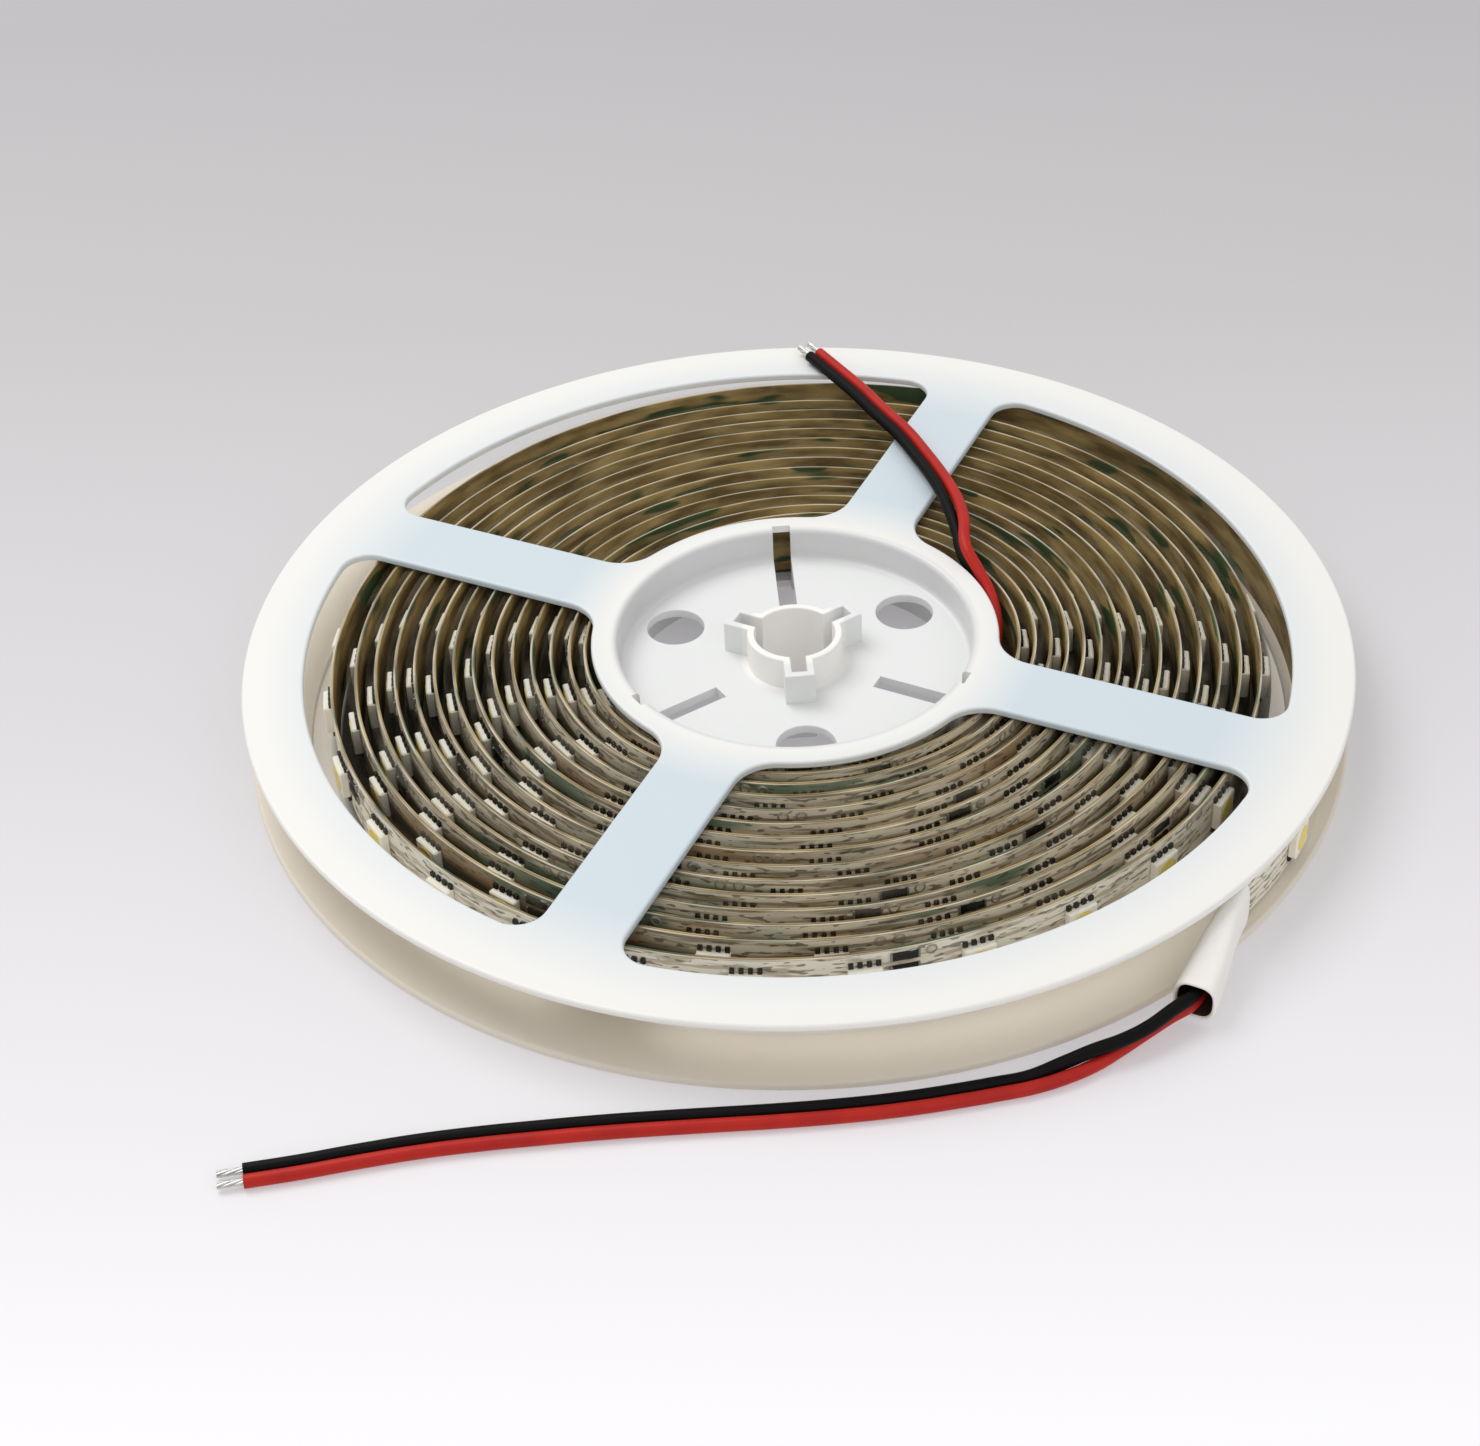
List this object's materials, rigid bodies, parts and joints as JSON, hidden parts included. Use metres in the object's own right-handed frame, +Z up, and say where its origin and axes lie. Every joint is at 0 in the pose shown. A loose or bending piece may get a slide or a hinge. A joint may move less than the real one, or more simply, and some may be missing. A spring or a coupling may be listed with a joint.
{
  "type": "led strip light reel",
  "caption": "Round plastic reel with windowed flanges and a keyed hub, holding a wound LED strip with a twin lead at each end.",
  "frame": {"origin": "on the reel's axis, in the plane of the lower flange's outer face", "axes": "+Z up along the reel's axis; -Y towards the side where the outer lead lies"},
  "size_m": [0.178, 0.1941, 0.0167],
  "materials": {
    "reel_plastic": "smooth white moulded plastic",
    "strip_silicone": "clear silicone over a flexible circuit with a brown backing",
    "sleeve_white": "white shrink sleeve",
    "wire_red": "smooth red insulation",
    "wire_black": "smooth black insulation",
    "tinned_copper": "tinned strands"
  },
  "bodies": {
    "root": {"reel_lower_half": "reel_plastic", "reel_upper_half": "reel_plastic", "led_strip": "strip_silicone", "outer_sleeve": "sleeve_white", "inner_sleeve": "sleeve_white", "outer_lead_red": "wire_red", "outer_lead_black": "wire_black", "inner_lead_red": "wire_red", "inner_lead_black": "wire_black", "outer_lead_tip_red": "tinned_copper", "outer_lead_tip_black": "tinned_copper", "inner_lead_tip_red": "tinned_copper", "inner_lead_tip_black": "tinned_copper"}
  },
  "joints": []
}
